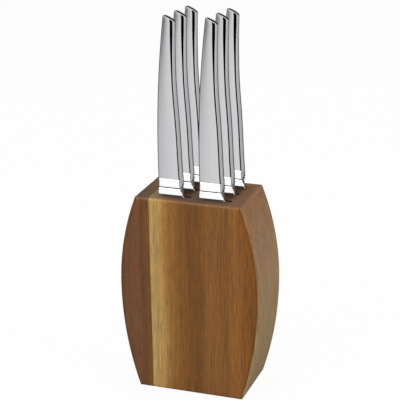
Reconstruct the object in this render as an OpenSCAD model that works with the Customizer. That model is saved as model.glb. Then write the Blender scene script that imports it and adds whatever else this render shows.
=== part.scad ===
// Steak knife block: a barrel-sided acacia block on four pads, holding two columns
// of three all-steel steak knives that lift straight out of their slots.
// Millimetres. +Z is up, +X is the side the cutting edges face, -Y is the front.
// The origin is on the table, under the middle of the block.

/* [Block] */
// Depth of the block, front face to back face
block_d = 46; // [44:1:80]
// Width across the top face
top_w = 68.8; // [62:0.2:84]
// Width across the bottom face
bottom_w = 69.4; // [66:0.2:88]
// Width at the widest height of the barrel sides
widest_w = 92; // [89:0.2:120]
// Height of the widest place above the bottom of the wood
widest_z = 69.5; // [50:0.5:80]
// Thickness of the wood left under the slots
floor_h = 12; // [8:0.5:30]
// Radius that rounds every outer edge of the block
edge_r = 2.5; // [1:0.1:4]

/* [Staves] */
// Where the glue line lies between the dark left stave and its neighbour
left_glue_x = -25; // [-27:0.1:-24]

/* [Slots] */
// Number of rows of knives, front to back
rows = 3; // [1:1:3]
// Distance between rows of knives
row_pitch = 14; // [11:0.1:17]
// How far the middle row lies behind the middle of the block
row_shift = -0.2; // [-2:0.1:2]
// How far each row lies to the right of the row in front of it
row_stagger = 2; // [0:0.1:3]
// Distance between the two columns of knives
column_pitch = 26.6; // [24:0.1:32]
// How far the columns lie to the right of the middle of the block
column_shift = 3.3; // [-1:0.1:4]
// Free space between the blade and each end of its slot
slot_end_gap = 0.6; // [0.3:0.1:1]
// Free space between the blade and each side wall of its slot
slot_side_gap = 0.7; // [0.4:0.05:1]
// Free space under the tip of the blade
slot_tip_gap = 4; // [1:0.5:10]

/* [Blade] */
// Length of the blade below its bolster
blade_l = 114; // [90:0.5:140]
// Width of the blade at the heel
blade_w = 14.2; // [11.5:0.1:17.5]
// Thickness of the blade at the spine
blade_t = 1.6; // [1.2:0.1:2]
// Thickness left at the cutting edge
edge_t = 0.2; // [0.1:0.05:0.4]
// Length of the curved stretch of the spine before the tip
spine_curve_l = 58; // [40:1:70]
// Length of the curved stretch of the cutting edge before the tip
edge_curve_l = 28; // [20:1:50]
// How far the tip lies from the line of the cutting edge
tip_rise = 2.8; // [1:0.1:6]
// Width of the flat beside the spine, before the grind starts
spine_flat_w = 4.7; // [2:0.1:8]
// Distance between the serrations of the cutting edge
serration_pitch = 3.6; // [3:0.1:6]
// Depth of a serration
serration_depth = 0.45; // [0.2:0.05:0.6]
// Length of plain edge between the heel and the first serration
plain_heel_l = 8; // [4:0.5:20]
// Length of the tang inside the handle, above the bolster
tang_l = 55; // [30:1:65]
// Width of the tang
tang_w = 6; // [4:0.1:7]

/* [Handle] */
// Height of the handle's spine corner above the block
handle_top = 113; // [92:0.5:136]
// Thickness of the handle
handle_t = 6.8; // [5.6:0.1:8.2]
// Thickness of the handle's steel wall
wall = 1.1; // [0.8:0.1:1.4]
// Gap between the handle's wall and the core inside it
core_gap = 0.05; // [0.02:0.01:0.2]
// How far the handle's spine line lies to the left of the middle of the knife
spine_offset = 8.65; // [7.6:0.05:9]
// Radius of the convex spine side
spine_r = 740; // [500:1:900]
// Height above the block where the spine side stands out furthest
spine_bulge_z = 27; // [10:1:35]
// Radius of the hollow edge side
hollow_r = 950; // [750:10:1500]
// Height above the block where the edge side is narrowest
hollow_z = 82; // [60:1:95]
// Width of the handle between the spine line and the hollow of the edge side
grip_w = 12.4; // [10.4:0.1:15.2]
// Slope of the cut-off butt, in degrees
butt_slope = 29; // [0:1:40]

/* [Bolster] */
// Height of the narrow seat that rests on the wood
seat_h = 1.4; // [0.8:0.1:2]
// Width of the seat
seat_w = 12.6; // [10:0.1:13]
// How far the seat reaches past each side of its slot, to carry the knife
seat_ledge = 0.9; // [0.6:0.1:1.2]
// Width of the flared foot at its bottom
foot_w = 15.6; // [13.8:0.1:17]
// Height of the flared foot
foot_h = 4.4; // [3:0.1:6]
// Extra thickness of the foot at its bottom
foot_flare_t = 0.8; // [0:0.1:1.4]
// Height of the groove between the foot and the band
groove_h = 0.6; // [0.4:0.1:1]
// Depth of the groove
groove_depth = 0.5; // [0.2:0.1:0.8]
// Height of the polished band above the groove
band_h = 5; // [3:0.1:8]
// How far the band is set in from the handle's spine and edge sides
band_step = 0.2; // [0:0.05:0.4]

/* [Pads] */
// Diameter of a pad under the block
pad_d = 10; // [8:0.5:14]
// Thickness of a pad
pad_t = 1; // [0.8:0.1:2]
// Distance from a pad's middle to the sides of the bottom face
pad_inset = 11; // [9:0.5:14]

/* [Hidden] */
$fn = 96;
KNIVES = [1 : 2 * rows];

far = 400;           // longer than the whole object, for half-spaces
rim_fn = 48;         // roundness of the small edge radii
arc_fn = 360;        // roundness of the wide arcs

slot_w = blade_t + 2 * slot_side_gap;
slot_l = blade_w + 2 * slot_end_gap;
slot_depth = blade_l + slot_tip_gap;
block_h = slot_depth + floor_h;
bottom_z = pad_t;
top_z = bottom_z + block_h;
widest_height = bottom_z + widest_z;

// Radius of an arc that starts along a line and leaves it by dx over a length dz
function arc_r(dx, dz) = (dx * dx + dz * dz) / (2 * dx);
upper_dz = block_h - widest_z;
upper_r = arc_r((widest_w - top_w) / 2, upper_dz);
lower_r = arc_r((widest_w - bottom_w) / 2, widest_z);

// Knives 1, 2, 3 are the left column from front to back, and 4, 5, 6 the right one
middle_row = (rows - 1) / 2;
function column_x(c, r) = column_shift + (c - 0.5) * column_pitch + (r - middle_row) * row_stagger;
function row_y(r) = row_shift + (r - middle_row) * row_pitch;
function knife_x(i) = column_x(floor((i - 1) / rows), (i - 1) % rows);
function knife_y(i) = row_y((i - 1) % rows);
// The slots of each column end at a glue line, where the saw came in
function slot_end_x(c) = column_x(c, rows - 1) + slot_l / 2;

// Heights in a knife, measured from the top of the block
foot_z = seat_h;
groove_z = foot_z + foot_h;
band_z = groove_z + groove_h;
handle_z = band_z + band_h;
// The handle's two long sides, measured from the middle of the knife
spine_x = -spine_offset;
hollow_x = spine_x + grip_w;
function spine_side_x(z) = spine_x + spine_r - sqrt(pow(spine_r, 2) - pow(z - spine_bulge_z, 2));
function edge_side_x(z) = hollow_x + hollow_r - sqrt(pow(hollow_r, 2) - pow(z - hollow_z, 2));

// ---------- block ----------

// One barrel side: a wide disc with a rounded rim, its axis along Y
module barrel_disc(r, side) {
    translate([side * (widest_w / 2 - r), 0, widest_height])
        rotate([90, 0, 0])
            rotate_extrude($fn = arc_fn) {
                translate([0, edge_r - block_d / 2]) square([r, block_d - 2 * edge_r]);
                translate([0, -block_d / 2]) square([r - edge_r, block_d]);
                for (s = [-1, 1])
                    translate([r - edge_r, s * (block_d / 2 - edge_r)])
                        circle(edge_r, $fn = rim_fn);
            }
}

// The waste outside the rounded corner between a barrel side and a flat end:
// lean is the angle at which the barrel side meets the rounding
module corner_waste(lean) {
    reach = 3 * edge_r;
    translate([0, far, 0]) rotate([90, 0, 0]) linear_extrude(2 * far) difference() {
        polygon([[0, 0], [reach * cos(lean), reach * sin(lean)], [reach, reach], [0, reach]]);
        circle(edge_r, $fn = rim_fn);
    }
}

// The slice between the widest place and a flat end, with its two corners rounded.
// up is 1 for the top end and -1 for the bottom end
module rounded_end(r, dz, up) {
    corner_x = widest_w / 2 - r + sqrt(pow(r - edge_r, 2) - pow(dz - edge_r, 2));
    lean = asin((dz - edge_r) / (r - edge_r));
    translate([0, 0, widest_height]) mirror([0, 0, up < 0 ? 1 : 0]) difference() {
        translate([-far, -far, 0]) cube([2 * far, 2 * far, dz]);
        for (side = [0, 1])
            mirror([side, 0, 0]) translate([corner_x, 0, dz - edge_r]) corner_waste(lean);
    }
}

// The block seen from the side, with its four long edges rounded
module side_profile() {
    rotate([90, 0, 90]) translate([0, 0, -far]) linear_extrude(2 * far) {
        translate([-block_d / 2, bottom_z + edge_r]) square([block_d, block_h - 2 * edge_r]);
        translate([edge_r - block_d / 2, bottom_z]) square([block_d - 2 * edge_r, block_h]);
        for (y = [-1, 1], z = [bottom_z + edge_r, top_z - edge_r])
            translate([y * (block_d / 2 - edge_r), z]) circle(edge_r, $fn = rim_fn);
    }
}

module block_half(r, dz, up) {
    intersection() {
        barrel_disc(r, -1);
        barrel_disc(r, 1);
        rounded_end(r, dz, up);
    }
}

module block_body() {
    intersection() {
        union() {
            block_half(upper_r, upper_dz, 1);
            block_half(lower_r, widest_z, -1);
        }
        side_profile();
    }
}

module stave(x0, x1) {
    intersection() {
        block_body();
        translate([x0, -far / 2, 0]) cube([x1 - x0, far, far]);
    }
}

// The saw cuts of one column, open at the top and at the glue line
module slots(c) {
    for (r = [0 : rows - 1])
        translate([column_x(c, r) - slot_l / 2, row_y(r) - slot_w / 2, top_z - slot_depth])
            cube([slot_l + far, slot_w, slot_depth + far]);
}

module stave_left() color("#5d4034") stave(-far / 2, left_glue_x);

module stave_slotted_left() color("#a5813f")
    difference() {
        stave(left_glue_x, slot_end_x(0));
        slots(0);
    }

module stave_slotted_right() color("#80552c")
    difference() {
        stave(slot_end_x(0), slot_end_x(1));
        slots(1);
    }

module stave_right() color("#86593a") stave(slot_end_x(1), far / 2);

module pads() color("#2b2b2b")
    for (x = [-1, 1], y = [-1, 1])
        translate([x * (bottom_w / 2 - pad_inset), y * (block_d / 2 - pad_inset), 0])
            cylinder(d = pad_d, h = pad_t);

// ---------- knife ----------

module at_knife(i) translate([knife_x(i), knife_y(i), top_z]) children();

// A disc, its axis along Y, whose rim runs upright through x at height z
module arc_disc(x, z, r) {
    translate([x + r, far, z]) rotate([90, 0, 0]) cylinder(r = r, h = 2 * far, $fn = arc_fn);
}

// The handle between its spine side, edge side and sloping butt, above height z0
// and drawn in evenly by inset
module grip(inset, z0) {
    intersection() {
        difference() {
            arc_disc(spine_x + inset, spine_bulge_z, spine_r - inset);
            arc_disc(hollow_x - inset, hollow_z, hollow_r + inset);
        }
        translate([-foot_w, inset - handle_t / 2, z0])
            cube([2 * foot_w, handle_t - 2 * inset, handle_top]);
        translate([spine_side_x(handle_top), -far, handle_top - inset / cos(butt_slope)])
            rotate([0, butt_slope, 0])
                translate([-far, 0, -2 * far]) cube([2 * far, 2 * far, 2 * far]);
    }
}

// The tang runs up from the heel, midway between the grip's two sides at its top end
module tang() {
    tang_top = handle_z + tang_l;
    middle = (spine_side_x(tang_top) + edge_side_x(tang_top)) / 2;
    translate([middle - tang_w / 2, -blade_t / 2, 0]) cube([tang_w, blade_t, tang_top]);
}

// A block between heights z0 and z1, its faces leaning evenly from one x span and
// thickness to the other
module leaning_block(z0, span0, t0, z1, span1, t1) {
    intersection() {
        translate([0, far / 2, 0]) rotate([90, 0, 0]) linear_extrude(far)
            polygon([[span0[0], z0], [span0[1], z0], [span1[1], z1], [span1[0], z1]]);
        translate([-far / 2, 0, 0]) rotate([90, 0, 90]) linear_extrude(far)
            polygon([[-t0 / 2, z0], [t0 / 2, z0], [t1 / 2, z1], [-t1 / 2, z1]]);
    }
}

module bolster_solid() {
    seat_t = slot_w + 2 * seat_ledge;
    left = spine_side_x(handle_z) + band_step;
    right = edge_side_x(handle_z) - band_step;
    translate([-seat_w / 2, -seat_t / 2, 0]) cube([seat_w, seat_t, foot_z]);
    leaning_block(foot_z, [-foot_w / 2, foot_w / 2], handle_t + foot_flare_t,
                  groove_z, [left, right], handle_t);
    translate([left + groove_depth, groove_depth - handle_t / 2, groove_z])
        cube([right - left - 2 * groove_depth, handle_t - 2 * groove_depth, groove_h]);
    translate([left, -handle_t / 2, band_z]) cube([right - left, handle_t, band_h]);
}

// A long strip that is straight on its near side and curves in by dx over its last dz
module curved_strip(dx, dz) {
    r = arc_r(dx, dz);
    translate([0, -blade_l + dz]) square([2 * blade_w, blade_l - dz]);
    intersection() {
        translate([r, dz - blade_l]) circle(r, $fn = arc_fn);
        translate([0, -blade_l]) square([2 * blade_w, dz]);
    }
}

module blade_outline() {
    heel = blade_w / 2;
    intersection() {
        translate([-heel, 0]) curved_strip(blade_w - tip_rise, spine_curve_l);
        translate([heel, 0]) mirror([1, 0]) curved_strip(tip_rise, edge_curve_l);
    }
}

module serrations() {
    tooth_r = arc_r(serration_depth, serration_pitch / 2);
    for (z = [plain_heel_l + serration_pitch / 2 : serration_pitch : blade_l - edge_curve_l])
        translate([blade_w / 2 + tooth_r - serration_depth, blade_t, -z])
            rotate([90, 0, 0]) cylinder(r = tooth_r, h = 2 * blade_t, $fn = rim_fn);
}

// The blade is full thickness beside the spine and ground evenly down to the edge
module blade_solid() {
    heel = blade_w / 2;
    grind_x = spine_flat_w - heel;
    intersection() {
        translate([0, blade_t, 0]) rotate([90, 0, 0]) linear_extrude(2 * blade_t) blade_outline();
        translate([0, 0, -blade_l]) linear_extrude(blade_l)
            polygon([
                [-heel, -blade_t / 2], [grind_x, -blade_t / 2], [heel, -edge_t / 2],
                [heel, edge_t / 2], [grind_x, blade_t / 2], [-heel, blade_t / 2]
            ]);
    }
}

module blade(i) color("#c9ccce") at_knife(i) {
    difference() {
        blade_solid();
        serrations();
    }
    tang();
}

module bolster(i) color("#eef0f1") at_knife(i)
    difference() {
        bolster_solid();
        tang();
    }

module handle(i) color("#b4b6b8") at_knife(i)
    difference() {
        grip(0, handle_z);
        grip(wall, handle_z - wall);
    }

module core(i) color("#8a8a80") at_knife(i)
    difference() {
        grip(wall + core_gap, handle_z);
        tang();
    }

stave_left();
stave_slotted_left();
stave_slotted_right();
stave_right();
pads();
for (i = KNIVES) {
    blade(i);
    bolster(i);
    handle(i);
    core(i);
}
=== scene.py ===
# Looks of the steak knife block: wood, steel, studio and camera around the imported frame.
# Lengths are in metres and angles in degrees unless a name says otherwise.
import math

import bpy
from mathutils import Matrix, Vector


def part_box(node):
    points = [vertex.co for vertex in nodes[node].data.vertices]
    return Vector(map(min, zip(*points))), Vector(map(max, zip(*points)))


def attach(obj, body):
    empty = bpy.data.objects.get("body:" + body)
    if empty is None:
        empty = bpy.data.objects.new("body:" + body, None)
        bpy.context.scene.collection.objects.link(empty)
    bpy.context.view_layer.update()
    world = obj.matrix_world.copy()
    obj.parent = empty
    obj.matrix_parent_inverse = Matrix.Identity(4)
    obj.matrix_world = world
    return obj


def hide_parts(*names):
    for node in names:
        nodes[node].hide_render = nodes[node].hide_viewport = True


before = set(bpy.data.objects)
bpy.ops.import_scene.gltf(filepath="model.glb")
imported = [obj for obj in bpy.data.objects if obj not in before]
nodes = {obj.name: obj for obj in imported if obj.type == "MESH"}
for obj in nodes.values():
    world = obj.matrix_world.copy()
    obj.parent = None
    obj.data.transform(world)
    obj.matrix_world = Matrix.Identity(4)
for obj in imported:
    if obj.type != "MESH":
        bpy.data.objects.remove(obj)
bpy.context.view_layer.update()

MM = 0.001
KNIVES = range(1, 7)

# ---------- sizes taken from the frame ----------
wood_low, wood_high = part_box("stave_slotted_left")
BLOCK_BOTTOM, BLOCK_TOP = wood_low.z, wood_high.z
BLOCK_FRONT, BLOCK_BACK = wood_low.y, wood_high.y
GLUE_LEFT, GLUE_MIDDLE = wood_low.x, wood_high.x
GLUE_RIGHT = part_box("stave_slotted_right")[1].x
WOOD_LEFT, WOOD_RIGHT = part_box("stave_left")[0].x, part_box("stave_right")[1].x


def knife_origin(i):
    """The middle of knife i at the height of the block's top."""
    low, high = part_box(f"blade_{i}")
    return Vector(((low.x + high.x) / 2, (low.y + high.y) / 2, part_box(f"bolster_{i}")[0].z))


ROW_FRONT, ROW_BACK = knife_origin(1), knife_origin(3)
ROW_SLANT = (ROW_BACK.x - ROW_FRONT.x) / (ROW_BACK.y - ROW_FRONT.y)
COLUMN_MIDDLES = (knife_origin(1).x, knife_origin(4).x)


# ---------- easing ----------
def mix(a, b, t):
    return a + (b - a) * t


def smooth(t):
    t = min(1.0, max(0.0, t))
    return t * t * (3 - 2 * t)


def rise(t, start, end):
    """0 up to start and 1 from end on, with a soft step between them."""
    return smooth((t - start) / (end - start))


# ---------- the handle's outline, measured from the middle of a knife at the block's top ----------
SPINE_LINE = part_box("handle_1")[0].x - knife_origin(1).x
SPINE_R = 740 * MM
SPINE_BULGE_Z = 27 * MM
HOLLOW_LINE = SPINE_LINE + 12.4 * MM
HOLLOW_R = 950 * MM
HOLLOW_Z = 82 * MM
SWELL = 0.35 * MM
SWELL_Z = 38 * MM
SWELL_REACH = 25 * MM
NECK_SLIM = 0.65 * MM
NECK_Z = (48 * MM, 78 * MM)


def spine_side_x(z):
    return SPINE_LINE + SPINE_R - math.sqrt(SPINE_R**2 - (z - SPINE_BULGE_Z) ** 2)


def edge_side_x(z):
    """The hollow arc, with the polisher's swell below it and a slimmer neck above."""
    arc = HOLLOW_LINE + HOLLOW_R - math.sqrt(HOLLOW_R**2 - (z - HOLLOW_Z) ** 2)
    swell = SWELL * smooth(1 - abs(z - SWELL_Z) / SWELL_REACH)
    return arc + swell - NECK_SLIM * rise(z, *NECK_Z)


# ---------- mesh helpers ----------
FACE_STEPS = 14
CORNER_STEPS = 7
DOME_STEPS = 5
TAPER_POWER = 2.4
BEVEL_LEAN = math.radians(19)


def new_object(name, verts, faces):
    mesh = bpy.data.meshes.new(name)
    mesh.from_pydata(verts, [], faces)
    mesh.validate()
    obj = bpy.data.objects.new(name, mesh)
    bpy.context.scene.collection.objects.link(obj)
    return obj


def quarter_turn(steps):
    """The angles of a round corner, from 0 to a right angle."""
    return [math.pi / 2 * k / steps for k in range(steps + 1)]


def rounded_ring(x0, x1, half_t, left_r, bevel_w, corner_r, taper, dome=0.0):
    """A closed loop around a bar's cross-section. Its spine side at x0 is rounded by
    left_r, its edge side at x1 has a shallow bevel bevel_w wide, then a corner of
    radius corner_r and a narrow face that turns by the angle dome either way, and its
    broad faces fall away by taper towards the spine side."""
    lean = BEVEL_LEAN if bevel_w > 0 else 0.0
    bevel_y = half_t - bevel_w * math.tan(lean)
    centre_y = bevel_y - corner_r * math.cos(lean)
    dome_r = (centre_y + corner_r * math.sin(dome)) / math.sin(dome) if dome else 0.0
    centre_x = x1 - corner_r * math.cos(dome) - dome_r * (1 - math.cos(dome))
    face_start, face_end = x0 + left_r, centre_x + corner_r * math.sin(lean) - bevel_w

    def face_y(s):
        return half_t - taper * (1 - s) ** TAPER_POWER

    half = []  # the loop's front half, from the spine side to the edge side
    for a in quarter_turn(CORNER_STEPS):
        half.append((face_start - left_r * math.cos(a), face_y(0) - left_r + left_r * math.sin(a)))
    for k in range(1, FACE_STEPS + 1):
        s = k / FACE_STEPS
        half.append((mix(face_start, face_end, s), face_y(s)))
    for k in range(CORNER_STEPS + 1):
        a = mix(math.pi / 2 - lean, dome, k / CORNER_STEPS)
        half.append((centre_x + corner_r * math.cos(a), centre_y + corner_r * math.sin(a)))
    for k in range(1, DOME_STEPS if dome else 0):
        a = dome * (1 - k / DOME_STEPS)
        half.append((x1 - dome_r * (1 - math.cos(a)), dome_r * math.sin(a)))
    return [(x, -y) for x, y in half] + half[::-1]


def loft(name, rings):
    """A closed mesh through rings of equally many points, each a list of (x, y, z)."""
    n = len(rings[0])
    verts = [p for ring in rings for p in ring]
    last = len(verts) - n
    faces = []
    for start in range(0, last, n):
        for k in range(n):
            a, b = start + k, start + (k + 1) % n
            faces.append((a, b, b + n, a + n))
    faces.append(tuple(range(n - 1, -1, -1)))
    faces.append(tuple(range(last, last + n)))
    return new_object(name, verts, faces)


def shade_smooth(obj, angle):
    for p in obj.data.polygons:
        p.use_smooth = True
    obj.data.set_sharp_from_angle(angle=math.radians(angle))


def assign(obj, *materials):
    obj.data.materials.clear()
    for m in materials:
        obj.data.materials.append(m)


# ---------- shader helpers ----------
def srgb(r, g, b):
    """A colour given as it looks on screen, 0 to 255, as the linear values shaders use."""
    shares = [c / 255 for c in (r, g, b)]
    return tuple(c / 12.92 if c <= 0.04 else ((c + 0.055) / 1.055) ** 2.4 for c in shares)


class Nodes:
    """Short calls for the nodes of one tree. Where a call takes a value, that is a number,
    a vector, a colour or another node's output."""

    def __init__(self, owner):
        owner.use_nodes = True
        self.tree = owner.node_tree
        self.tree.nodes.clear()

    def node(self, kind, **settings):
        made = self.tree.nodes.new(kind)
        for key, value in settings.items():
            setattr(made, key, value)
        return made

    def feed(self, value, socket):
        if isinstance(value, bpy.types.NodeSocket):
            self.tree.links.new(value, socket)
        elif socket.type == "RGBA":
            socket.default_value = (*value, 1)
        else:
            socket.default_value = value

    def math(self, operation, a, b=0.0):
        made = self.node("ShaderNodeMath", operation=operation)
        self.feed(a, made.inputs[0])
        self.feed(b, made.inputs[1])
        return made.outputs[0]

    def plus(self, total, *more):
        for value in more:
            total = self.math("ADD", total, value)
        return total

    def minus(self, a, b):
        return self.math("SUBTRACT", a, b)

    def times(self, product, *more):
        for value in more:
            product = self.math("MULTIPLY", product, value)
        return product

    def swing(self, noise, size):
        """A noise as a change either way, of half of size at the most."""
        return self.times(self.minus(noise, 0.5), size)

    def vector(self, operation, a, b):
        made = self.node("ShaderNodeVectorMath", operation=operation)
        self.feed(a, made.inputs[0])
        self.feed(b, made.inputs[1])
        return made.outputs[0]

    def split(self, v):
        made = self.node("ShaderNodeSeparateXYZ")
        self.feed(v, made.inputs[0])
        return made.outputs

    def noise(self, v, scale, detail=3.0, rough=0.6, distort=0.0, stretch=None):
        """Noise with scale cells to the metre; a stretch below 1 draws them out."""
        made = self.node("ShaderNodeTexNoise")
        self.feed(self.vector("MULTIPLY", v, stretch) if stretch else v, made.inputs["Vector"])
        made.inputs["Scale"].default_value = scale
        made.inputs["Detail"].default_value = detail
        made.inputs["Roughness"].default_value = rough
        made.inputs["Distortion"].default_value = distort
        return made.outputs["Fac"]

    def ramp(self, share, stops):
        """A colour by share, from (share, colour) pairs."""
        made = self.node("ShaderNodeValToRGB")
        self.feed(share, made.inputs[0])
        elements = made.color_ramp.elements
        while len(elements) < len(stops):
            elements.new(0.5)
        for element, (at, colour) in zip(elements, stops):
            element.position = at
            element.color = (*colour, 1)
        return made.outputs["Color"]

    def remap(self, value, a, b, to_a=0.0, to_b=1.0, kind="SMOOTHSTEP"):
        """to_a where value is a and to_b where it is b, with a soft step between them."""
        made = self.node("ShaderNodeMapRange", interpolation_type=kind)
        self.feed(value, made.inputs["Value"])
        for socket, number in zip(("From Min", "From Max", "To Min", "To Max"), (a, b, to_a, to_b)):
            made.inputs[socket].default_value = number
        return made.outputs["Result"]

    def linear(self, value, a, b, to_a=0.0, to_b=1.0):
        """As remap, with a straight ramp."""
        return self.remap(value, a, b, to_a, to_b, "LINEAR")

    def blend(self, share, a, b, kind="MIX"):
        """Colour a with a share of colour b."""
        made = self.node("ShaderNodeMix", data_type="RGBA", blend_type=kind)
        self.feed(share, made.inputs[0])
        self.feed(a, made.inputs[6])
        self.feed(b, made.inputs[7])
        return made.outputs[2]

    def tint(self, colour, by):
        return self.blend(1.0, colour, by, "MULTIPLY")

    def shaded(self, colour, brightness):
        grey = self.node("ShaderNodeCombineXYZ")
        for socket in grey.inputs:
            self.feed(brightness, socket)
        return self.tint(colour, grey.outputs[0])

    def blend_shaders(self, share, a, b):
        made = self.node("ShaderNodeMixShader")
        for value, socket in zip((share, a, b), made.inputs):
            self.feed(value, socket)
        return made.outputs[0]


class Surface(Nodes):
    """A material with one Principled shader."""

    def __init__(self, name):
        self.material = bpy.data.materials.new(name)
        super().__init__(self.material)
        self.out = self.node("ShaderNodeOutputMaterial")
        self.bsdf = self.node("ShaderNodeBsdfPrincipled")
        self.feed(self.bsdf.outputs["BSDF"], self.out.inputs["Surface"])

    def place(self):
        """The point on the surface in the object's own frame, in metres."""
        return self.node("ShaderNodeTexCoord").outputs["Object"]

    def put(self, **values):
        """Feeds the shader's sockets; an underscore stands for a space."""
        for name, value in values.items():
            self.feed(value, self.bsdf.inputs[name.replace("_", " ")])

    def bump(self, height, strength, distance):
        made = self.node("ShaderNodeBump")
        made.inputs["Strength"].default_value = strength
        made.inputs["Distance"].default_value = distance
        self.feed(height, made.inputs["Height"])
        self.put(Normal=made.outputs[0])


# ---------- wood ----------
# the grain's noises, each drawn out along the trunk
FIBRES = dict(stretch=(1, 1, 0.022), scale=1500.0, rough=0.65)
LINES = dict(stretch=(1, 1, 0.030), scale=520.0)
FLECKS = dict(stretch=(1, 1, 0.10), scale=1000.0, detail=2.0, distort=0.3)
STREAKS = dict(stretch=(1, 1, 0.09), scale=120.0, rough=0.55)
CLOUDS = dict(stretch=(1, 1, 0.45), scale=26.0, detail=2.0, rough=0.5, distort=0.4)
RED_STREAKS = dict(stretch=(1, 1, 0.05), scale=330.0, detail=2.0, rough=0.5)
PORES = dict(stretch=(1, 1, 0.045), scale=1900.0, detail=1.0, rough=0.5)
END_SPECKS = dict(scale=1100.0, rough=0.7)
# how much each of them shows
FIBRE_DEPTH, LINE_DEPTH, FLECK_DEPTH, STREAK_DEPTH = 0.80, 0.62, 1.0, 0.40
LATE_WOOD_DEPTH = 0.09
PORE_DEPTH = 0.28
# how much the painted highlight on the rounded top edges shows
EDGE_HIGHLIGHT_DEPTH = 0.1
# how dark the painted shade between the rows of knives is
ROW_SHADE_DEPTH = 0.52
GRAIN_LEVEL = 1.04

WANDER = 6 * MM
BAND_LEAN = 0.12
RINGS_PER_METRE = 260.0
RING_WOBBLE = 7 * MM
OIL_SHEEN = 0.020  # what the oil's reflection adds to every colour
DARKEST = 0.004
REDDER = (1.20, 0.93, 0.98)
PORE_BROWN = (0.035, 0.018, 0.010)
# the colours of the painted sheen on the barrel sides, high up and low down
SIDE_SHEEN_HIGH = srgb(138, 103, 73)
SIDE_SHEEN_LOW = srgb(150, 128, 89)
# painted shade on the top's end grain, at the front and at the back
END_SHADE_FRONT = (0.66, 0.61, 0.58)
END_SHADE_BACK = (1.0, 1.0, 1.0)
END_GREY = srgb(92, 84, 78)
# the colour of the painted highlight on the rounded top edges
EDGE_HIGHLIGHT = srgb(186, 148, 116)
# the colour of the painted shade between the rows of knives
ROW_SHADE_BLACK = srgb(24, 16, 11)
# the colour of the painted shade in the slots
SLOT_SHADE_BLACK = srgb(24, 16, 12)
# how far the painted shade between the rows is shifted
ROW_SHADE_SHIFT = 1 * MM  # to the right of each column's middle
SLOTS_HALF_W = 30 * MM  # all six slots lie within it, either side of the block's middle
# the roughness where shade is painted, which has no coat
SHADE_ROUGHNESS = 0.85
COAT = 0.22


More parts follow.
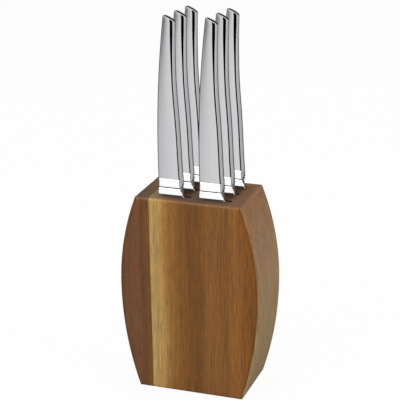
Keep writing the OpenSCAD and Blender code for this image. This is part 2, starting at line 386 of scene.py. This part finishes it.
class Wood(Surface):
    """Oiled acacia sawn lengthwise; each method is one thing that is seen on it."""

    def __init__(self, name, seed):
        super().__init__(name)
        place = self.place()
        self.x, self.y, self.z = self.split(place)
        self.normal = self.split(self.node("ShaderNodeNewGeometry").outputs["Normal"])
        self.shifted = self.vector("ADD", place, (seed, seed * 0.7, seed * 0.3))
        self.fibre = self.noise(self.shifted, **FIBRES)
        self.line = self.noise(self.shifted, **LINES)
        self.streak = self.noise(self.shifted, **STREAKS)
        self.speck = self.noise(place, **END_SPECKS)
        # the growth bands wander sideways as they climb, and lean a little with the depth
        cloud = self.noise(self.shifted, **CLOUDS)
        wander = self.plus(self.swing(cloud, WANDER), self.swing(self.streak, WANDER))
        depth = self.minus(self.y, BLOCK_FRONT)
        self.across = self.plus(self.x, wander, self.times(depth, BAND_LEAN))

    def growth_bands(self, bands):
        first, last = bands[0][0], bands[-1][0]
        share = self.linear(self.across, first, last)
        return self.ramp(share, [((at - first) / (last - first), [max(DARKEST, c - OIL_SHEEN) for c in tone])
                                 for at, tone in bands])

    def grain(self, slant):
        """The brightness of the fibres and of the growth rings' soft lines, around 1."""
        fleck = self.noise(self.shifted, **FLECKS)
        fibres = self.plus(self.swing(self.fibre, FIBRE_DEPTH), self.swing(self.line, LINE_DEPTH),
                           self.swing(fleck, FLECK_DEPTH), self.swing(self.streak, STREAK_DEPTH),
                           GRAIN_LEVEL)
        flame = self.times(self.minus(self.z, BLOCK_BOTTOM), slant)
        along = self.plus(self.across, flame, self.times(self.streak, RING_WOBBLE))
        rings = self.math("FRACT", self.times(along, RINGS_PER_METRE))
        late = self.times(self.remap(rings, 0.35, 0.95), self.remap(rings, 1.0, 0.95))
        return self.minus(fibres, self.times(late, LATE_WOOD_DEPTH))

    def reddened(self, colour, share):
        red = self.times(self.remap(self.noise(self.shifted, **RED_STREAKS), 0.45, 0.66), share)
        return self.blend(red, colour, self.tint(colour, REDDER))

    def pores(self):
        return self.remap(self.noise(self.shifted, **PORES), 0.66, 0.76)

    def sheened_sides(self, colour, grain, share):
        """Painted sheen: the barrel sides, which face the light edge on, are paler and greyer, more yellow
        low down.
        """
        side = self.remap(self.math("ABSOLUTE", self.normal[0]), 0.45, 0.85)
        low_down = self.linear(self.z, BLOCK_TOP, mix(BLOCK_BOTTOM, BLOCK_TOP, 0.25))
        sheen = self.shaded(self.blend(low_down, SIDE_SHEEN_HIGH, SIDE_SHEEN_LOW), grain)
        return self.blend(self.times(side, share), colour, sheen)

    def end_grained(self, colour):
        """End grain is darker towards the front as painted shade, which fades out towards the back, and has
        grey specks.
        """
        end = self.remap(self.math("ABSOLUTE", self.normal[2]), 0.60, 0.95)
        back = self.remap(self.y, ROW_FRONT.y - 4 * MM, ROW_BACK.y + 3 * MM)
        end_colour = self.tint(colour, self.blend(back, END_SHADE_FRONT, END_SHADE_BACK))
        grey = self.remap(self.speck, 0.35, 0.7, 0.0, 0.5)
        return self.blend(end, colour, self.blend(grey, end_colour, END_GREY))

    def edge_highlighted(self, colour):
        """Painted highlight: the rounded top edges are a little lighter, as where they catch the light."""
        edge = self.times(self.remap(self.normal[2], 0.25, 0.6), self.remap(self.normal[2], 0.97, 0.8))
        return self.blend(self.times(edge, EDGE_HIGHLIGHT_DEPTH), colour, EDGE_HIGHLIGHT)

    def row_shade(self):
        """Painted shade: the top is darkened between the rows of knives and beside them, where their shadows
        fall.
        """
        rows = self.plus(self.remap(self.y, ROW_FRONT.y, ROW_FRONT.y + 6 * MM, 0.0, 0.4),
                         self.remap(self.y, ROW_FRONT.y - 8.2 * MM, ROW_FRONT.y - 4.6 * MM, 0.0, 0.6))
        rows = self.times(rows, self.remap(self.y, ROW_BACK.y + 5 * MM, ROW_BACK.y - 2 * MM))
        straight = self.minus(self.x, self.times(self.minus(self.y, ROW_FRONT.y), ROW_SLANT))
        columns = 0.0
        for middle in COLUMN_MIDDLES:
            gap = self.math("ABSOLUTE", self.minus(straight, middle + ROW_SHADE_SHIFT))
            columns = self.plus(columns, self.remap(gap, 14 * MM, 5 * MM))
        return self.times(rows, columns, self.remap(self.z, BLOCK_TOP - 1 * MM, BLOCK_TOP))

    def slot_shade(self):
        """Painted shade: the walls of the slots are darkened as their shadow. They are all the wood's
        surface that lies well inside the block's own faces."""
        deep = self.math("MINIMUM", self.minus(self.y, BLOCK_FRONT), self.minus(BLOCK_BACK, self.y))
        aside = self.math("ABSOLUTE", self.x)
        return self.times(self.remap(deep, 1.5 * MM, 2.5 * MM),
                          self.remap(aside, SLOTS_HALF_W + 1 * MM, SLOTS_HALF_W - 1 * MM),
                          self.remap(self.z, BLOCK_TOP - 0.2 * MM, BLOCK_TOP - 0.8 * MM),
                          self.remap(self.z, BLOCK_BOTTOM + 1 * MM, BLOCK_BOTTOM + 2 * MM))

    def finish(self, pore, painted_shade):
        """The oil's thin coat, which is left off, with a rougher surface, where shade is painted between the
        rows and in the slots.
        """
        oiled = self.linear(self.line, 0.3, 0.7, 0.38, 0.52)
        self.put(Roughness=self.math("MAXIMUM", oiled, self.times(painted_shade, SHADE_ROUGHNESS)),
                 Specular_IOR_Level=0.12, Coat_Roughness=0.16,
                 Coat_Weight=self.times(self.minus(1.0, painted_shade), COAT))
        self.bump(self.minus(self.times(self.fibre, 0.4), pore), 0.2, 0.2 * MM)


def wood(name, bands, seed, slant=0.0, reddish=0.0, side_sheen=0.8):
    """bands are (x, colour) pairs of the board's growth bands from left to right; seed
    shifts the grain; slant leans the rings; reddish is the share of red streaks; the last
    argument is how far the barrel side pales with painted sheen."""
    w = Wood(name, seed)
    grain = w.grain(slant)
    pore = w.pores()
    colour = w.shaded(w.growth_bands(bands), grain)
    if reddish:
        colour = w.reddened(colour, reddish)
    colour = w.blend(w.times(pore, PORE_DEPTH), colour, PORE_BROWN)
    # painted sheen on the barrel sides
    colour = w.sheened_sides(colour, grain, side_sheen)
    colour = w.edge_highlighted(w.end_grained(colour))
    row_shade, slot_shade = w.row_shade(), w.slot_shade()
    # painted shade between and beside the rows of knives
    colour = w.blend(w.times(row_shade, ROW_SHADE_DEPTH), colour, ROW_SHADE_BLACK)
    # painted shade in the slots
    w.put(Base_Color=w.blend(slot_shade, colour, SLOT_SHADE_BLACK))
    # no coat where shade is painted, so that it stays dark
    w.finish(pore, w.math("MAXIMUM", row_shade, slot_shade))
    return w.material


# ---------- steel, rubber and filler ----------
def steel(name, colour, rough, brush_scale, brush_depth=0.0, stretch=(1, 1, 0.006), streaks=0.0,
          anisotropy=0.0):
    """Stainless steel brushed along the direction in which stretch is small. rough is its
    lowest and highest roughness; streaks is how much the brushing shows as lighter and
    darker lines."""
    g = Surface(name)
    brush = g.noise(g.place(), brush_scale, stretch=stretch)
    wear = g.noise(g.place(), 60.0, 4.0)
    mixed = g.plus(g.times(brush, 0.7), g.times(wear, 0.3))
    g.put(Metallic=1.0, Anisotropic=anisotropy, Roughness=g.linear(mixed, 0.35, 0.65, *rough),
          Base_Color=g.shaded(colour, g.plus(g.swing(brush, streaks), 1.0)) if streaks else colour)
    if brush_depth:
        g.bump(brush, brush_depth, 0.05 * MM)
    return g.material


def plain(name, colour, rough, skin_scale):
    """A dull moulded or cast material with a fine skin."""
    g = Surface(name)
    skin = g.noise(g.place(), skin_scale, 4.0)
    darker, lighter = [c * 0.8 for c in colour], [c * 1.2 for c in colour]
    g.put(Base_Color=g.blend(skin, darker, lighter),
          Roughness=g.linear(skin, 0.3, 0.7, rough - 0.06, rough + 0.06))
    g.bump(skin, 0.3, 0.1 * MM)
    return g.material


SATIN = steel("satin_steel", srgb(201, 201, 203), (0.15, 0.22), 1900.0, 0.03, streaks=0.24, anisotropy=0.5)
POLISHED = steel("polished_steel", srgb(243, 243, 244), (0.04, 0.08), 300.0, streaks=0.02)
# dark steel as painted shade in the bolster's groove and on its seat under the foot
SHADE_STEEL = steel("shade_steel", srgb(60, 60, 62), (0.30, 0.45), 900.0, 0.05)
BLADE_STEEL = steel("blade_steel", srgb(186, 188, 191), (0.18, 0.30), 2400.0, 0.12, (0.03, 1, 1))

# ---------- block ----------
STAVES = {
    "stave_left": dict(
        name="acacia_dark", seed=3.1, reddish=0.2, side_sheen=0.3,
        bands=[(WOOD_LEFT, srgb(104, 72, 50)), (-0.038, srgb(108, 75, 52)), (-0.034, srgb(114, 77, 54)),
               (-0.030, srgb(104, 71, 45)), (GLUE_LEFT, srgb(112, 80, 46))]),
    "stave_slotted_left": dict(
        name="acacia_sap", seed=7.7,
        bands=[(GLUE_LEFT, srgb(174, 142, 90)), (-0.0185, srgb(171, 135, 80)), (-0.0145, srgb(146, 106, 58)),
               (-0.008, srgb(130, 89, 48)), (GLUE_MIDDLE, srgb(116, 77, 38))]),
    "stave_slotted_right": dict(
        name="acacia_brown", seed=12.4, slant=-0.05,
        bands=[(GLUE_MIDDLE, srgb(116, 78, 39)), (0.006, srgb(112, 76, 39)), (0.0125, srgb(128, 87, 49)),
               (0.018, srgb(127, 87, 50)), (GLUE_RIGHT, srgb(120, 82, 46))]),
    "stave_right": dict(
        name="acacia_right", seed=19.2, slant=0.10,
        bands=[(GLUE_RIGHT, srgb(130, 88, 48)), (0.031, srgb(134, 91, 50)), (0.037, srgb(124, 81, 40)),
               (WOOD_RIGHT, srgb(118, 77, 38))]),
}


def dress_block():
    for stave, looks in STAVES.items():
        assign(nodes[stave], wood(**looks))
        shade_smooth(nodes[stave], 30)
        nodes[stave].visible_glossy = False
    assign(nodes["pads"], plain("pad_rubber", srgb(44, 44, 44), 0.75, 900.0))
    shade_smooth(nodes["pads"], 40)


# ---------- handles ----------
HANDLE_STEPS = 46
BUTT_START = 0.7  # the share of the handle's height from which its loops begin to slant
BUTT_SLOPE = 1.28 * math.tan(math.radians(29))
BUTT_SOFT = 2.5 * MM
BUTT_FALL = math.tan(math.radians(7))  # how steeply the butt falls away towards the back
BUTT_ROUND = 0.25 * MM
BUTT_ROUND_STEPS = 4
BUTT_SLIM = 0.55 * MM
EDGE_DOME = math.radians(12)


def handle_rings(i):
    origin = knife_origin(i)
    low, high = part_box(f"handle_{i}")
    z0, z1 = low.z - origin.z, high.z - origin.z
    full_half_t = (high.y - low.y) / 2
    spine_corner = spine_side_x(z1)

    def butt_drop(run):
        """How far the butt has fallen at a distance run from the spine corner: it leaves
        the corner gently and then falls at the full slope."""
        run = max(0.0, run)
        return BUTT_SLOPE * (run - BUTT_SOFT * (1 - math.exp(-run / BUTT_SOFT)))

    def ring(t, shrink, drop):
        """One loop at share t of the height, drawn in by shrink and let down by drop."""
        z = mix(z0, z1, t)
        half_t = full_half_t - BUTT_SLIM * rise(t, 0.35, 1.0) - shrink
        loop = rounded_ring(spine_side_x(z) + shrink, edge_side_x(z) - shrink, half_t,
                            left_r=mix(0.9, 1.0, t) * MM,
                            bevel_w=mix(0.62, 1.5, rise(t, 0.58, 1.0)) * MM,
                            corner_r=mix(0.6, 1.25, rise(t, 0.3, 0.8)) * MM,
                            taper=mix(0.42, 0.62, t) * MM, dome=EDGE_DOME)
        slanting = rise(t, BUTT_START, 1.0)
        points = []
        for x, y in loop:
            fall = butt_drop(x - spine_corner) + BUTT_FALL * (y + half_t)
            points.append((origin.x + x, origin.y + y, origin.z + z - drop - slanting * fall))
        return points

    rings = []
    for k in range(HANDLE_STEPS + 1):
        t = k / HANDLE_STEPS
        rings.append(ring(t, 0.0, BUTT_ROUND * rise(t, BUTT_START, 1.0)))
    for a in quarter_turn(BUTT_ROUND_STEPS)[1:]:
        rings.append(ring(1.0, BUTT_ROUND * (1 - math.cos(a)), BUTT_ROUND * (1 - math.sin(a))))
    return rings


def make_handle(i):
    obj = loft(f"handle_skin_{i}", handle_rings(i))
    assign(obj, SATIN, POLISHED)
    # the broad faces and the spine side are satin, the edge side and the butt are polished
    for p in obj.data.polygons:
        broad = abs(p.normal.y) > 0.965
        spine = p.normal.x < -0.02 and abs(p.normal.z) < 0.4
        p.material_index = 0 if broad or spine else 1
    shade_smooth(obj, 24)
    obj.visible_glossy = False
    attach(obj, f"knife_{i}")
    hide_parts(f"handle_{i}")


# ---------- bolsters ----------
SEAT_HALF_W, SEAT_HALF_T = 6.3 * MM, 2.4 * MM
NECK_INSET = 0.2 * MM  # of the bolster's neck, from the handle's sides
GROOVE = 0.45 * MM
FOOT_CUT = math.tan(math.radians(17))
FOOT_CUT_X = (4.2 * MM, 5.4 * MM)
# the heights that are drawn in dark steel as painted shade
DARK_HEIGHTS = ((-0.1 * MM, 1.42 * MM), (5.35 * MM, 6.15 * MM))  # the seat and the groove


def bolster_rings(i):
    origin = knife_origin(i)
    low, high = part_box(f"bolster_{i}")
    handle_low, handle_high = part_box(f"handle_{i}")
    top = high.z - origin.z
    neck_t, foot_t = (handle_high.y - handle_low.y) / 2, (high.y - low.y) / 2
    left, right = spine_side_x(top) + NECK_INSET, edge_side_x(top) - NECK_INSET
    foot_left, foot_right = low.x - origin.x, high.x - origin.x
    # height in mm, left, right, half thickness, corner radius in mm, how far the ends are cut back
    profile = [
        (0.0, -SEAT_HALF_W, SEAT_HALF_W, SEAT_HALF_T, 0.3, 0),
        (1.35, -SEAT_HALF_W, SEAT_HALF_W, SEAT_HALF_T, 0.3, 0),
        (1.40, foot_left + 0.5 * MM, foot_right - 0.5 * MM, foot_t - 0.5 * MM, 0.3, 1),
        (1.50, foot_left + 0.15 * MM, foot_right - 0.15 * MM, foot_t - 0.15 * MM, 0.3, 1),
        (1.75, foot_left, foot_right, foot_t, 0.3, 1),
        (2.7, foot_left - 0.02 * MM, foot_right - 0.10 * MM, foot_t - 0.02 * MM, 0.3, 1),
        (3.7, mix(foot_left, left, 0.2), mix(foot_right, right, 0.50), foot_t - 0.15 * MM, 0.35, 0.8),
        (4.5, mix(foot_left, left, 0.6), mix(foot_right, right, 0.88), neck_t + 0.1 * MM, 0.45, 0.35),
        (5.15, mix(foot_left, left, 0.8), mix(foot_right, right, 0.97), neck_t, 0.5, 0.1),
        (5.37, left + 0.1 * MM, right - 0.1 * MM, neck_t - 0.12 * MM, 0.5, 0),
        (5.43, left + GROOVE, right - GROOVE, neck_t - GROOVE, 0.5, 0),
        (6.07, left + GROOVE, right - GROOVE, neck_t - GROOVE, 0.5, 0),
        (6.13, left + 0.1 * MM, right - 0.1 * MM, neck_t - 0.12 * MM, 0.5, 0),
        (6.4, left, right, neck_t, 0.7, 0),
        (8.0, left, right, neck_t, 0.8, 0),
        (9.6, left, right, neck_t, 0.85, 0),
        (11.1, left, right, neck_t, 0.9, 0),
        (11.3, left + 0.1 * MM, right - 0.1 * MM, neck_t - 0.1 * MM, 0.9, 0),
        (top / MM, left + 0.3 * MM, right - 0.3 * MM, neck_t - 0.3 * MM, 0.9, 0),
    ]
    rings = []
    for z, x0, x1, half_t, corner_r, cut in profile:
        loop = []
        for x, y in rounded_ring(x0, x1, half_t, corner_r * MM, 0.0, corner_r * MM, 0.0):
            back = (y + half_t) * FOOT_CUT * cut * rise(abs(x), *FOOT_CUT_X)
            loop.append((origin.x + x - math.copysign(back, x), origin.y + y, origin.z + z * MM))
        rings.append(loop)
    return rings


def make_bolster(i):
    obj = loft(f"bolster_skin_{i}", bolster_rings(i))
    assign(obj, POLISHED, SHADE_STEEL)
    wood_top = knife_origin(i).z
    for p in obj.data.polygons:
        # painted shade on the seat and in the groove
        dark = any(low < p.center.z - wood_top < high for low, high in DARK_HEIGHTS)
        p.material_index = 1 if dark else 0
    shade_smooth(obj, 38)
    obj.visible_glossy = False
    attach(obj, f"knife_{i}")
    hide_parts(f"bolster_{i}")


def dress_knives():
    filler = plain("core_filler", srgb(150, 150, 140), 0.8, 700.0)
    for i in KNIVES:
        make_handle(i)
        make_bolster(i)
        blade, core = nodes[f"blade_{i}"], nodes[f"core_{i}"]
        assign(blade, BLADE_STEEL)
        shade_smooth(blade, 20)
        assign(core, filler)
        for hidden_from_steel in (blade, core):
            hidden_from_steel.visible_glossy = False


# ---------- studio ----------
FLOOR_REACH = 6.0
FLOOR_GREY = (0.86, 0.86, 0.86)
FLOOR_GLOW = 0.94  # how much of the floor's own shade is hidden by plain white
WORLD_LIGHT = 0.55
WHITE = (1.0, 1.0, 1.0)
CEILING = (0.80, 0.80, 0.80)
CEILING_FROM = (12, 26)
# the tent's brightness as steel sees it, by azimuth from -Y towards +X
TENT_BELOW = [(-180, 0.08), (-172, 0.16), (-160, 0.42), (-150, 0.42), (-136, 0.08), (-90, 0.03), (-62, 0.12),
              (-45, 0.40), (-34, 0.76), (-22, 1.10), (-8, 1.18), (-3, 1.18), (2, 0.0), (42, 0.0), (52, 0.72),
              (95, 0.60), (112, 0.36), (140, 0.46), (156, 0.44), (167, 0.06), (180, 0.08)]
TENT_ABOVE = [(-180, 0.02), (-120, 0.02), (-70, 0.10), (-45, 0.60), (-25, 1.05), (-4, 1.15), (4, 0.0),
              (42, 0.0), (52, 0.72), (95, 0.65), (115, 0.02), (180, 0.02)]
TENT_ABOVE_FROM = (-9, -3)


def make_floor():
    r = FLOOR_REACH
    obj = new_object("floor", [(-r, -r, 0), (r, -r, 0), (r, r, 0), (-r, r, 0)], [(0, 1, 2, 3)])
    g = Surface("floor_white")
    g.put(Base_Color=FLOOR_GREY, Roughness=0.9)
    path = g.node("ShaderNodeLightPath").outputs
    seen = g.math("MAXIMUM", path["Is Camera Ray"], path["Is Transmission Ray"])
    glow = g.node("ShaderNodeEmission")
    glow.inputs["Strength"].default_value = 1.0
    glowing = g.blend_shaders(g.times(seen, FLOOR_GLOW), g.bsdf.outputs[0], glow.outputs[0])
    g.feed(glowing, g.out.inputs["Surface"])
    assign(obj, g.material)
    obj.visible_glossy = False


def make_world():
    """A white tent. Steel sees it with the dark flags that a product studio stands up: one
    set of tones below the horizon, another just above it, and a pale ceiling."""
    world = bpy.data.worlds.new("studio")
    bpy.context.scene.world = world
    g = Nodes(world)
    x, y, z = g.split(g.node("ShaderNodeTexCoord").outputs["Generated"])
    turn = g.linear(g.math("ARCTAN2", x, g.times(y, -1.0)), -math.pi, math.pi)

    def band(tones):
        return g.ramp(turn, [((azimuth + 180) / 360, (tone,) * 3) for azimuth, tone in tones])

    def over(low, high):
        """0 below the elevation low and 1 above high."""
        return g.remap(z, math.sin(math.radians(low)), math.sin(math.radians(high)))

    def backdrop(colour, strength=1.0):
        made = g.node("ShaderNodeBackground")
        g.feed(colour, made.inputs["Color"])
        made.inputs["Strength"].default_value = strength
        return made.outputs[0]

    tent = g.blend(over(*TENT_ABOVE_FROM), band(TENT_BELOW), band(TENT_ABOVE))
    tent = g.blend(over(*CEILING_FROM), tent, CEILING)
    path = g.node("ShaderNodeLightPath").outputs
    seen = g.blend_shaders(path["Is Glossy Ray"], backdrop(WHITE, WORLD_LIGHT), backdrop(tent))
    seen = g.blend_shaders(path["Is Camera Ray"], seen, backdrop(WHITE))
    g.feed(seen, g.node("ShaderNodeOutputWorld").inputs["Surface"])


LIGHTS_AIM = Vector((0, 0, 0.12))


def area_light(name, place, size, power, glints=False):
    data = bpy.data.lights.new(name, "AREA")
    data.shape = "RECTANGLE"
    data.size, data.size_y = size
    data.energy = power
    obj = bpy.data.objects.new(name, data)
    obj.location = place
    obj.rotation_euler = (LIGHTS_AIM - Vector(place)).to_track_quat("-Z", "Y").to_euler()
    obj.visible_glossy = glints
    bpy.context.scene.collection.objects.link(obj)


def make_lights():
    area_light("key", (-0.5, -0.9, 0.9), size=(0.8, 0.8), power=7.0, glints=True)
    area_light("fill_right", (1.1, -0.2, 0.7), size=(0.8, 1.0), power=6.0)
    area_light("top", (0.0, 0.3, 1.3), size=(0.9, 0.9), power=4.0)


# ---------- camera ----------
CAMERA_AZIMUTH = 19.88
CAMERA_ELEVATION = 19.74
CAMERA_ROLL = -0.91
CAMERA_DISTANCE = 0.8853
LENS_MM, SENSOR_MM = 127.6, 36.0
LOOK_AT = Vector((0.0004, 0.0, 0.12434))


def make_camera():
    data = bpy.data.cameras.new("camera")
    data.lens, data.sensor_width = LENS_MM, SENSOR_MM
    data.clip_start, data.clip_end = 0.01, 50.0
    obj = bpy.data.objects.new("camera", data)
    a, e, roll = (math.radians(angle) for angle in (CAMERA_AZIMUTH, CAMERA_ELEVATION, CAMERA_ROLL))
    back = Vector((math.sin(a) * math.cos(e), -math.cos(a) * math.cos(e), math.sin(e)))
    obj.location = LOOK_AT + back * CAMERA_DISTANCE
    turned = (-back).to_track_quat("-Z", "Y").to_matrix()
    obj.rotation_euler = (turned @ Matrix.Rotation(roll, 3, "Z")).to_euler()
    bpy.context.scene.collection.objects.link(obj)
    bpy.context.scene.camera = obj


dress_block()
dress_knives()
make_floor()
make_world()
make_lights()
make_camera()
bpy.context.scene.view_settings.view_transform = "Standard"
